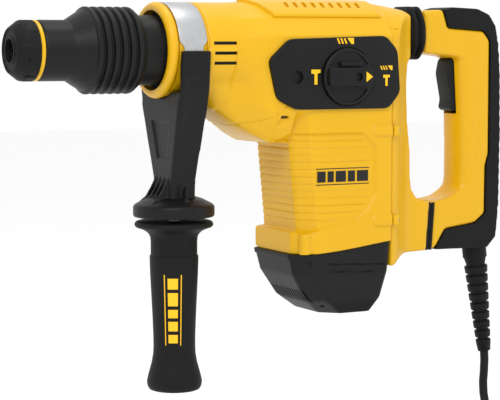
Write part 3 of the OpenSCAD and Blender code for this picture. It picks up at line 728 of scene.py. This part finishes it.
def makeRearCover():
    outline = [(207.1, 40), (218, 38.5), (230, 36.5), (240.2, 34.5), (240.2, -7), (236, -12),
               (234.5, -30), (236, -60), (240, -88), (240.4, -110), (242, -122), (248, -130.5),
               (261, -133.5), (257.6, -176.6), (234, -177.5), (222, -180), (212, -185), (207.1, -186)]
    solids = [lambda bm: addPrism(bm, outline, -43, 43, "y")]
    bm = moulded("rear_cover", solids, 1.4, 2)
    for v in bm.verts:
        # the slab is drawn in towards the handle, and its top is rounded over like the gear housing
        p = v.co
        scale = rearSection(p.x) / 43.0
        y = p.y * scale
        top = math.sqrt(max(40.5 ** 2 - y * y, 4)) if abs(y) < 40.5 else 2
        if p.z > 0:
            limit = min(outlineHeight(outline, p.x), 41)
            p.z = p.z * min(1.0, top / 40.5) if limit > 0 else p.z
        p.y = y
    bmesh.ops.smooth_vert(bm, verts=bm.verts, factor=0.5, use_axis_x=True, use_axis_y=True,
                          use_axis_z=True)
    bm = reskinned(bm, "rear_cover", 1.4, 3)
    tool = bmesh.new()
    addPrism(tool, [(204, 28), (222, 26), (234, 20), (232, -20), (232, -120), (238, -136), (252, -142),
                    (250, -168), (220, -172), (204, -176)], -16, 16, "y")
    addBox(tool, (244, -12, -173), (275, 12, -146))
    addBox(tool, (226, -14, 0), (250, 14, 28))
    addBox(tool, (203, -36, -56), (217, 36, 18))
    for side in (-1, 1):
        for z in body["bossHeights"]:
            hole = [(212.9, 0), (212.9, 3.7), (232, 3.7), (232, 0)]
            addTurned(tool, hole, (0, side * body["screwOut"], z), "x", 32)
    bm = carved(bm, tool, "rear_cover")
    for side in (-1, 1):
        for z in body["bossHeights"]:
            low, high = sorted((side * 36.0, side * 46.9))
            r = body["bossRadius"]
            plan = [(207.1, z - r), (212.6, z - r), (212.6, z + r), (207.1, z + r)]
            addPrism(bm, plan, low, high, "y", 0.8, 3)
    addPiece("rear_cover_shell", bm, "hammer_body", yellowNylon, ("rear_cover",))


def outlineHeight(outline, x):
    # height of the outline's upper edge at x
    for (ax, az), (bx, bz) in zip(outline, outline[1:]):
        if ax <= x <= bx:
            return az + (bz - az) * (x - ax) / max(bx - ax, 1e-6)
    return outline[0][1]


makeFrontHousing()
makeMotorHousing()
makeTopCover()
makeRearCover()
print("housings made")


def capPlan(x0, x1, w):
    return [(x0, 14 - w), (x0 + 14, -w), (x1 - 6, -w), (x1, 8 - w), (x1, w - 8), (x1 - 6, w),
            (x0 + 14, w), (x0, w - 14)]


def addHull(bm, points):
    verts = [bm.verts.new(p) for p in points]
    hull = bmesh.ops.convex_hull(bm, input=verts)
    loose = [v for v in hull["geom_interior"] + hull["geom_unused"] if isinstance(v, bmesh.types.BMVert)]
    bmesh.ops.delete(bm, geom=loose, context="VERTS")


def makeMotorCap():
    levels = [(-166.4, 112.4, 209.4, 44.9), (-171.5, 113.4, 208.9, 44.9), (-190, 118.2, 207.3, 43.8),
              (-212, 132, 202.6, 40), (-224.3, 148, 196, 34)]
    points = [(x, y, z) for z, x0, x1, w in levels for x, y in capPlan(x0, x1, w)]
    solids = [lambda bm: addHull(bm, points)]
    bm = moulded("motor_cap", solids, 1.3, 4)
    capsule = [(143, -187), (203, -189.9), (203, -182.3), (143, -179.5)]
    for v in bm.verts:
        p = v.co
        inside = insideDistance((p.x, p.z), capsule)
        ends = min(math.hypot(p.x - 147, p.z + 183.2), math.hypot(p.x - 198, p.z + 186.1))
        depth = smoothStep((max(min(inside, min(p.x - 146, 199 - p.x) + 3.6), 3.7 - ends) + 0.5) / 1.8)
        if abs(p.y) > 30:
            v.co -= v.normal * 1.9 * depth
        if p.z > -176:
            v.co.z += (rimShift(p.x) + 0.2) * smoothStep((p.z + 176) / 6)
    tool = bmesh.new()
    for side in (-1, 1):
        # a deep round channel below each screw boss, and fine air slits low on the front corner
        addTurned(tool, [(-213, 0), (-213, 2), (-211, 4.4), (-178, 4.6), (-176, 3), (-176, 0)],
                  (123.6, side * 43.5, 0), "z", 32)
    for i in range(15):
        addBox(tool, (110, -29.4 + 4.1 * i, -214), (146, -27.6 + 4.1 * i, -203))
    addPrism(tool, [(126, -38), (206, -38), (206, 38), (126, 38)], -186, -164, "z")
    addPrism(tool, [(145, -32), (197, -32), (197, 32), (145, 32)], -218, -185, "z")
    bm = carved(bm, tool, "motor_cap")
    addPiece("motor_cap_shell", bm, "hammer_body", blackNylon, ("motor_cap",))


def makeCoverScrews():
    # pan heads with a round socket
    profile = [(208.2, 0), (208.2, 2.2), (212.7, 2.2), (212.7, 3.4), (214.6, 3.3), (215.2, 2.7),
               (215.2, 1.3), (213.9, 1.1), (213.9, 0)]
    bm = bmesh.new()
    for side in (-1, 1):
        for z in body["bossHeights"]:
            addTurned(bm, profile, (0, side * body["screwOut"], z), "x", 32)
    addPiece("cover_screw_heads", bm, "hammer_body", groundSteel, ("cover_screws",))


def makeFrontFlange():
    bm = bmesh.new()
    addTurned(bm, [(-22, 24.6), (-22, 28.0), (-21.4, 28.5), (-4, 28.5), (-1, 28.9), (9.2, 29.4),
                   (9.2, 33.9), (14.4, 33.9), (14.4, 24.6)], (0, 0, 0), "x", 96)
    addPiece("front_flange_sleeve", bm, "hammer_body", blackNylon, ("front_flange",))


makeMotorCap()
makeCoverScrews()
makeFrontFlange()
print("cap made")


# Mode selector on the near side.
dial = {"x": 159.6, "z": -22.2}


def addPlate(bm, outline, low, high, bevel=0.0):
    # flat plate with only its outer rim eased, drawn on X and Z, from low to high along Y
    front = bm.faces.new([bm.verts.new((x, low, z)) for x, z in outline])
    back = bm.faces.new([bm.verts.new((x, high, z)) for x, z in reversed(outline)])
    bmesh.ops.bridge_loops(bm, edges=list(front.edges) + list(back.edges))
    if bevel:
        bmesh.ops.bevel(bm, geom=list(front.edges), offset=bevel, segments=3, profile=0.5,
                        affect="EDGES", clamp_overlap=True, material=-1)


def makeSelectorPlate():
    outline = roundedOutline([(85.8, -8), (93.2, -40.1), (111.1, -49.1), (200.6, -49.4), (212.2, -36),
                              (209.4, -0.1), (197.6, 12), (104.5, 9.2)], 5)
    bm = bmesh.new()
    addPlate(bm, outline, -47.9, -44.6, 0.8)
    tool = bmesh.new()
    centre = (dial["x"], 0, dial["z"])
    addTurned(tool, [(-50, 0), (-50, 24.9), (-46.3, 24.9), (-46.3, 0)], centre, "y", 96)
    addTurned(tool, [(-50, 0), (-50, 5.4), (-40, 5.4), (-40, 0)], centre, "y", 48)
    pivot = (112, 0, dial["z"])
    addTurned(tool, [(-50, 0), (-50, 5.9), (-47.1, 5.2), (-45.1, 5.2), (-45.1, 0)], pivot, "y", 48)
    bm = carved(bm, tool, "selector")
    addPiece("selector_plate_face", bm, "hammer_body", blackNylon, ("selector_plate",),
             sharpAngle=28)


def makeDial():
    x, z = dial["x"], dial["z"]
    bm = bmesh.new()
    addTurned(bm, [(-51.2, 0), (-51.2, 21.5), (-50.6, 23.2), (-49.6, 23.9), (-48.15, 23.9), (-48.15, 4.9),
                   (-43.2, 4.9), (-43.2, 0)], (x, 0, z), "y", 96)
    bar = roundedOutline([(x - 21.6, z - 7.4), (x + 17, z - 8), (x + 22.2, z), (x + 17, z + 8),
                          (x - 21.6, z + 7.4)], 3, 6)
    addPlate(bm, bar, -57, -50.8, 1.6)
    bm = reskinned(bm, "dial", 0.45, 4)
    tool = bmesh.new()
    addTurned(tool, [(-60, 0), (-60, 3.8), (-54.6, 3.4), (-54.6, 0)], (x + 6, 0, z), "y", 48)
    for side in (-1, 1):
        low, high = (20, 160) if side > 0 else (200, 340)
        addPrism(tool, arcPoints(x, z + side * 1.2, 20.2, low + 6, high - 6, 20), -53, -49.9, "y")
    bm = carved(bm, tool, "dial")
    addPiece("mode_dial_knob", bm, "mode_dial", blackNylon, ("mode_dial",))
    bm = bmesh.new()
    addPlate(bm, [(x + 13.2, z - 4.4), (x + 19.4, z), (x + 13.2, z + 4.4)], -57.12, -56.5)
    addPiece("mode_dial_pointer", bm, "mode_dial", yellowInk, smooth=False)
    bm = bmesh.new()
    addBox(bm, (x - 9, -53.9, z + 8.6), (x + 11, -51.9, z + 12.4), 0.5)
    for i in range(5):
        addBox(bm, (x - 5 + 2.6 * i, -54.0, z + 9.2), (x - 4 + 2.6 * i, -53.6, z + 11.8), 0.15, 1)
    addPiece("dial_lock_slider", bm, "lock_tab", blackNylon, ("dial_lock_tab",))


def addMark(bm, outline, place, scale=1.0, low=-48.05, high=-47.7):
    points = [(place[0] + a * scale, place[1] + b * scale) for a, b in outline]
    addPlate(bm, points, low, high)


def makeIcons():
    # plain pictures of the modes: a drill tip above, a hammer before, both behind
    stripe = [(0, -2), (1.4, -2), (-0.4, 2), (-1.8, 2)]
    tip = [(0, -2.2), (2, -2.2), (2, 2.2), (-3.6, 2.2)]
    hammer = [(-1.3, -6.4), (1.5, -6.4), (1.5, 2.6), (4.4, 3.4), (4.4, 6), (-4.2, 6), (-4.2, 2.6),
              (-1.3, 2.6)]
    bm = bmesh.new()
    for place, scale in (((dial["x"] - 2.4, 7.6), 1.15), ((197.6, -15), 0.85)):
        for k in range(3):
            addMark(bm, stripe, (place[0] + (2.9 * k - 5.2) * scale, place[1]), scale)
        addMark(bm, tip, (place[0] + 5.4 * scale, place[1]), scale)
    addMark(bm, hammer, (129.2, -22), 1.0)
    addMark(bm, hammer, (198, -25.4), 0.75)
    addPiece("mode_icons", bm, "hammer_body", yellowInk, smooth=False)


def makeSideMark():
    # plain bars between two thin lines fill the panel's label field on both sides
    bm = bmesh.new()
    for side in (-1, 1):
        low, high = sorted((side * 42.4, side * 42.75))
        for z in (-99.3, -112.7):
            line = [(133, z - 0.35), (184.5, z - 0.35), (184.5, z + 0.35), (133, z + 0.35)]
            addPlate(bm, line, low, high)
        x = 134.0
        for width in (8, 6, 10, 7, 11):
            addPlate(bm, [(x, -110.6), (x + width, -110.6), (x + width, -101.4), (x, -101.4)], low, high)
            x += width + 1.9
    addPiece("side_panel_bars", bm, "hammer_body", blackInk, smooth=False)


makeSideMark()
makeSelectorPlate()
makeDial()
makeIcons()
print("selector made")


# Side handle: band, arm and grip.
arm = {"x": 21.4, "gripTop": -141.0, "gripBottom": -282.4}


def makeBand():
    # a rolled strip over the top, its ends tapering to the tongues that enter the arm
    bm = bmesh.new()
    count = 96
    rows = []
    for i in range(count + 1):
        angle = math.radians(-14 + 208 * i / count)
        low = min(angle, math.pi - angle)
        half = 8.4 + 3.9 * min(max((math.degrees(low) - 4.2) / 6.8, 0), 1)
        row = []
        for r in (38.12, 39.45):
            for sx in (-1, 1):
                row.append(bm.verts.new((arm["x"] + sx * half, r * math.cos(angle), r * math.sin(angle))))
        rows.append(row)
    for a, b in zip(rows, rows[1:]):
        for i, j in ((0, 1), (1, 3), (3, 2), (2, 0)):
            bm.faces.new((a[i], a[j], b[j], b[i]))
    for row in (rows[0], rows[-1]):
        bm.faces.new((row[0], row[1], row[3], row[2]))
    bmesh.ops.recalc_face_normals(bm, faces=bm.faces)
    rim = [e for e in bm.edges if len(e.link_faces) == 2 and e.calc_face_angle(0) > 1.2]
    bmesh.ops.bevel(bm, geom=rim, offset=0.4, segments=3, profile=0.5, affect="EDGES",
                    clamp_overlap=True, material=-1)
    addPiece("clamp_band_strip", bm, "side_handle", bandSteel, ("clamp_band",))


def armSides(z):
    # front and rear edge of the arm at each height, and its half-width
    table = [(0, 9.6, 34.4, 44.3), (-30, 9.6, 34.4, 42), (-41, 9.6, 34.4, 39.2), (-45, 8.7, 34.4, 38),
             (-106, 10.8, 32.1, 19.5), (-121, 10.4, 32.6, 17.8), (-128, 10, 33, 17)]
    for (za, *a), (zb, *b) in zip(table, table[1:]):
        if zb <= z <= za:
            t = (za - z) / (za - zb)
            return [p + (q - p) * t for p, q in zip(a, b)]
    return table[-1][1:]


def makeSideArm():
    solids = []

    def shell(bm):
        rings = []
        for i in range(33):
            z = -0.3 - 127.5 * i / 32
            x0, x1, w = armSides(z)
            plan = [(x0, -w + 3), (x0 + 2, -w), (x1, -w), (x1, w), (x0 + 2, w), (x0, w - 3)]
            rings.append([(x, y, z) for x, y in plan])
        addRings(bm, rings)

    solids.append(shell)
    solids.append(lambda bm: addTurned(bm, [(-137.4, 0), (-137.4, 33), (-136.4, 33.9), (-129, 33.9),
                                            (-127, 32.6), (-122.6, 24), (-120.4, 17), (-119.4, 0)],
                                       (arm["x"], 0, 0), "z", 96))
    gusset = [(10.5, -104), (14, -104), (14, -126), (-6, -126), (1.5, -120), (6.5, -112)]
    for y in (-12, -4, 4, 12):
        solids.append(lambda bm, y=y: addPrism(bm, gusset, y - 1.1, y + 1.1, "y"))
    web = [(20.3, -112), (22.5, -112), (22.5, -126), (20.3, -126)]
    for side in (-1, 1):
        low, high = sorted((side * 14.0, side * 26.0))
        solids.append(lambda bm, low=low, high=high: addPrism(bm, web, low, high, "y"))
    bm = moulded("side_arm", solids, 1.0, 3)
    for v in bm.verts:
        p = v.co
        if v.normal.x < -0.55 and p.z > -104:
            inside = insideDistance((p.y, p.z), [(-17, -58), (-8.5, -89), (8.5, -89), (17, -58)])
            v.co.x += 1.5 * smoothStep((inside + 0.6) / 1.6)
        if abs(v.normal.y) > 0.6 and -112 < p.z < -14:
            x0, x1, w = armSides(p.z)
            inside = insideDistance((p.x, p.z), [(15.5, -108), (28.5, -108), (31.2, -22), (13.2, -22)])
            side = 1 if p.y > 0 else -1
            v.co.y -= side * 0.9 * smoothStep((inside + 0.6) / 1.8)
    tool = bmesh.new()
    addTurned(tool, [(-30, 0), (-30, 39.9), (60, 39.9), (60, 0)], (0, 0, 0), "x", 128)
    addBox(tool, (-20, -38.2, -34), (60, 38.2, 10))
    for side in (-1, 1):
        low, high = sorted((side * 30.0, side * 41.0))
        addBox(tool, (arm["x"] - 9.2, low, -14), (arm["x"] + 9.2, high, 6))
        funnel = [(arm["x"] - 9.2, -8), (arm["x"] + 9.2, -8), (arm["x"] + 13, 6), (arm["x"] - 13, 6)]
        addPrism(tool, funnel, low, high, "y")
    addTurned(tool, [(-140, 0), (-140, 5.2), (-50, 5.2), (-50, 8.2), (-30, 8.2), (-30, 0)],
              (arm["x"], 0, 0), "z", 48)
    bm = carved(bm, tool, "side_arm")
    addPiece("side_arm_shell", bm, "side_handle", blackNylon, ("side_arm",))


def makeSideGrip():
    top, bottom = arm["gripTop"], arm["gripBottom"]
    profile = [(top, 5.4), (top, 30.4), (top - 0.6, 31.8), (top - 2, 32.7), (top - 3.6, 32.7),
               (top - 5, 31.4), (top - 6.6, 26.6), (top - 8.4, 23.4), (top - 10.4, 21.2),
               (top - 13, 19.8), (-158, 19.4), (-169, 19.4), (-169.8, 20.2), (-172, 20.35), (-186, 19.9),
               (-200, 19.2), (-218, 18.3), (-236, 17.6), (-246, 17.5), (-252, 17.8), (-259, 19),
               (-266, 20.9), (-271, 22.2), (-274.5, 23), (-277.5, 22.9), (-280, 22.2),
               (bottom + 0.6, 20.8), (bottom, 19.2), (bottom, 5), (-206, 5), (-206, 5.4), (-190, 5.4),
               (-190, 10.6), (-176, 10.6), (-176, 5.4)]
    bm = bmesh.new()
    addTurned(bm, profile, (arm["x"], 0, 0), "z", 128)
    addPiece("side_grip_sleeve", bm, "side_grip", softRubber, ("side_grip",))
    # a plain mark of short bars stands in the field between two thin lines
    bm = bmesh.new()

    def addRaised(angleLow, angleHigh, low, high):
        def radius(z):
            for (za, ra), (zb, rb) in zip(profile, profile[1:]):
                if zb <= z <= za:
                    return ra + (rb - ra) * (za - z) / max(za - zb, 1e-6)
            return 20.5
        steps, rows = 8, []
        for i in range(steps + 1):
            angle = math.radians(angleLow + (angleHigh - angleLow) * i / steps)
            rows.append([bm.verts.new((arm["x"] + (radius(z) + off) * math.cos(angle),
                                       (radius(z) + off) * math.sin(angle), z))
                         for z, off in ((low, -0.3), (high, -0.3), (high, 0.12), (low, 0.12))])
        for a, b in zip(rows, rows[1:]):
            for k in range(4):
                bm.faces.new((a[k], a[(k + 1) % 4], b[(k + 1) % 4], b[k]))
        bm.faces.new(rows[0])
        bm.faces.new(rows[-1])
    middle = -118
    for low, high in ((-241, -234), (-231, -223), (-220, -213), (-210, -199), (-196, -187)):
        addRaised(middle - 13, middle + 12, low, high)
    for a in (-21, 20):
        addRaised(middle + a - 1.2, middle + a + 1.2, -243, -184)
    addPiece("side_grip_bars", bm, "side_grip", yellowInk)


makeBand()
makeSideArm()
makeSideGrip()
print("side handle made")


# Rear handle with its rubber, bellows and trigger.
handle = {"halfWidth": 18.0, "front": 293.5, "round": 13.0,
          "outline": [(256, 34), (256, -3), (280, -5.5), (290, -7), (293.2, -57.7), (293.8, -80),
                      (293.8, -118), (291, -127), (284, -131.5), (266.5, -134), (263.6, -177),
                      (270, -175), (280, -159), (311.5, -155), (322.5, -147), (322.6, -104), (326, -93),
                      (325.8, 8), (319, 16.5), (281, 19), (276, 35)],
          "rubber": [(276, 35), (281, 19), (319, 16.5), (325.8, 8), (326, -93), (322.6, -104),
                     (322.5, -147), (311.5, -155), (280, -159), (270, -175), (268, -176.8), (325, -177.6),
                     (334, -168), (336.8, -140), (337.8, -75), (336.8, -20), (335, 4), (331.4, 21),
                     (324.4, 31), (312, 36), (285, 37.2)]}


def makeHandleHalves():
    hollow = [(262, 28), (262, 2), (300, -8), (304, -30), (304, -125), (300, -150), (310, -150),
              (319, -140), (319, -20), (316, 12), (278, 14), (272, 28)]
    for side, node in ((-1, "handle_right"), (1, "handle_left")):
        solids = [lambda bm: addPrism(bm, handle["outline"], -17.6, 17.6, "y", 3.2, 4)]
        bm = moulded(node, solids, 0.9, 4)
        for v in bm.verts:
            # a finely ribbed field runs round the front of the grip
            p = v.co
            field = insideDistance((p.x, p.z), [(280, -62), (280, -128), (309.4, -125), (312, -92),
                                                (316, -86.6), (316, -51.3), (307, -51.3), (301, -62)])
            if field > -1 and (abs(p.y) > 6 or p.x < 300):
                wave = 0.5 + 0.5 * math.cos(2 * math.pi * p.z / 3.3)
                rim = smoothStep((0.7 - abs(field - 0.2)) / 0.7) if p.x > 297 else 0
                v.co -= v.normal * (0.5 * wave * smoothStep((field - 1.2) / 1.5) + 0.4 * rim)
            # the front of the grip is rounded for the fingers
            reach = smoothStep((p.z + 131) / 12) * smoothStep((-2 - p.z) / 10)
            across = min(abs(p.y) / (handle["halfWidth"] + 0.2), 1.0)
            push = handle["round"] * (1 - math.sqrt(1 - across ** 2)) * reach
            v.co.x += push * (1 - smoothStep((p.x - handle["front"]) / 26)) if p.x < 322 else 0
        tool = bmesh.new()
        addPrism(tool, hollow, -15, 15, "y")
        addPrism(tool, [(270, -7.4), (270, -57), (308, -57), (304, -7.4)], -9.8, 9.8, "y")
        low, high = (0.06, 40) if side < 0 else (-40, -0.06)
        addBox(tool, (200, low, -220), (400, high, 80))
        bm = carved(bm, tool, node)
        low, high = sorted((0.06 * side, 9 * side))
        addTurned(bm, [(low, 4.3), (low, 8), (high, 8), (high, 4.3)], (252, 0, -159), "y", 48)
        addBox(bm, (259.5, low, -164), (268, high, -154), 0.6)
        addPiece(node + "_shell", bm, "rear_handle", yellowNylon, (node,))


def tiltToExit(bm):
    # from the origin to where the cord leaves the handle, leaning as it does
    tilt = Matrix.Translation((321.5, 0, -170)) @ Matrix.Rotation(math.radians(-7.5), 4, "Y")
    bmesh.ops.transform(bm, matrix=tilt, verts=bm.verts)


def makeOvermould():
    solids = [lambda bm: addPrism(bm, handle["rubber"], -18.4, 18.4, "y", 5.2, 5)]
    bm = moulded("overmould", solids, 1.1, 3)
    for v in bm.verts:
        # shallow dimples let the palm grip the back
        p = v.co
        if p.x > 326 and -150 < p.z < 10:
            ridge = 0.5 + 0.5 * math.cos(2 * math.pi * p.z / 9.5)
            v.co.x -= 0.45 * ridge
    tool = bmesh.new()
    addTurned(tool, [(-20, 0), (-20, 11.2), (10, 11.2), (10, 0)], (0, 0, 0), "z", 64)
    tiltToExit(tool)
    bm = carved(bm, tool, "overmould")
    addPiece("handle_overmould_grip", bm, "rear_handle", softRubber,
             ("handle_overmould",))


def makeRelief():
    # ribbed sleeve round the cord where it leaves the handle, with cross slots so that it bends
    profile = [(-105.8, 4.1), (-105.8, 5.4), (-105, 5.9)]
    for i in range(9):
        z = -98 + 8.6 * i
        grow = 6.2 + 0.46 * i
        profile += [(z - 3.2, grow), (z - 2.7, grow + 0.3), (z + 2.4, grow + 0.7), (z + 2.9, grow + 0.3),
                    (z + 3.0, grow - 1.4), (z + 4.9, grow - 1.3)]
    profile += [(-18.6, 10.1), (-18, 10.9), (-0.4, 10.9), (-0.4, 4.1)]
    bm = bmesh.new()
    addTurned(bm, profile, (0, 0, 0), "z", 64)
    tiltToExit(bm)
    addPiece("strain_relief_sleeve", bm, "rear_handle", softRubber, ("strain_relief",))


def makeBellows():
    # pleated rubber between the rear cover and the handle, a fixed mesh on no body
    bm = bmesh.new()
    rings = []
    for i in range(61):
        t = i / 60
        x = 240.5 + 15.0 * t
        lift = 0.5 - 0.5 * math.cos(4 * math.pi * t)
        out = 20.4 + 3.5 * lift ** 0.7
        top, low = 34.0 + 3.6 * lift ** 0.7, -6.0 - 2.8 * lift ** 0.7
        plan = roundedOutline([(-out + 9, low), (out - 9, low), (out, low + 11), (out, top - 13),
                               (out - 9, top), (-out + 9, top), (-out, top - 13), (-out, low + 11)], 5, 6)
        rings.append([(x, y, z) for y, z in plan])
    addRings(bm, rings)
    piece = addPiece("bellows_pleats", bm, None, softRubber, ("handle_bellows",),
                     sharpAngle=60)
    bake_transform(piece)


def makeDamper():
    bm = bmesh.new()
    addPrism(bm, [(261.9, -135.6), (265.3, -135.6), (262.4, -176), (258.6, -176)], -19, 19, "y", 0.7, 2)
    for side in (-1, 1):
        low, high = sorted((side * 18.4, side * 19.6))
        for plan in ([(260.2, -134.4), (263.2, -134.4), (260.4, -176.4), (257.2, -176.4)],
                     [(263.8, -134.4), (267, -134.4), (264, -176.4), (261, -176.4)]):
            addPrism(bm, plan, low, high, "y", 0.5, 2)
    tool = bmesh.new()
    addBox(tool, (250, -13, -174), (280, 13, -147))
    bm = carved(bm, tool, "damper")
    addPiece("lower_damper_strip", bm, "hammer_body", softRubber, ("lower_damper",))


def makeTrigger():
    outline = roundedOutline([(288, -8.2), (285.2, -21), (287.6, -33), (290, -45), (288.2, -52),
                              (292.5, -55), (299.3, -53), (299.3, -8.2)], 3, 6)
    bm = bmesh.new()
    addPrism(bm, outline, -9, 9, "y", 2.2, 5)
    addPiece("trigger_paddle", bm, "trigger", blackNylon, ("trigger",))


makeHandleHalves()
makeOvermould()
makeRelief()
makeDamper()
makeTrigger()
makeBellows()
print("rear handle made")


# Ground and light.

def makeFloor():
    bm = bmesh.new()
    bmesh.ops.create_grid(bm, x_segments=1, y_segments=1, size=6.0)
    bmesh.ops.translate(bm, vec=(0, 0, cord["floor"] * mm), verts=bm.verts)
    mesh = bpy.data.meshes.new("floor")
    bm.to_mesh(mesh)
    bm.free()
    floor = bpy.data.objects.new("floor", mesh)
    bpy.context.scene.collection.objects.link(floor)
    mesh.materials.append(newMaterial("paperSweepMatt", 0.9, 0.0, None, "#FAFAFA")[0])


def addArea(name, place, aim, size, power, colour="#FFFFFF"):
    data = bpy.data.lights.new(name, "AREA")
    data.shape = "RECTANGLE"
    data.size, data.size_y = size
    data.energy = power
    data.color = linearColour(colour)[:3]
    lamp = bpy.data.objects.new(name, data)
    lamp.location = place
    lamp.rotation_euler = (Vector(aim) - Vector(place)).to_track_quat("-Z", "Y").to_euler()
    bpy.context.scene.collection.objects.link(lamp)


def lightScene():
    world = bpy.data.worlds.new("softRoom")
    world.use_nodes = True
    world.node_tree.nodes["Background"].inputs["Color"].default_value = linearColour("#FFFFFF")
    world.node_tree.nodes["Background"].inputs["Strength"].default_value = 1.0
    bpy.context.scene.world = world
    middle = (0.12, 0, -0.08)
    addArea("keyLight", (-0.5, -1.0, 0.95), middle, (0.45, 0.45), 8)
    addArea("topLight", (0.15, 0.1, 1.2), middle, (0.6, 0.4), 3.5)
    addArea("fillLight", (1.3, -0.9, 0.15), middle, (0.5, 0.9), 0.6)
    bpy.context.scene.view_settings.view_transform = "Standard"


makeFloor()
lightScene()
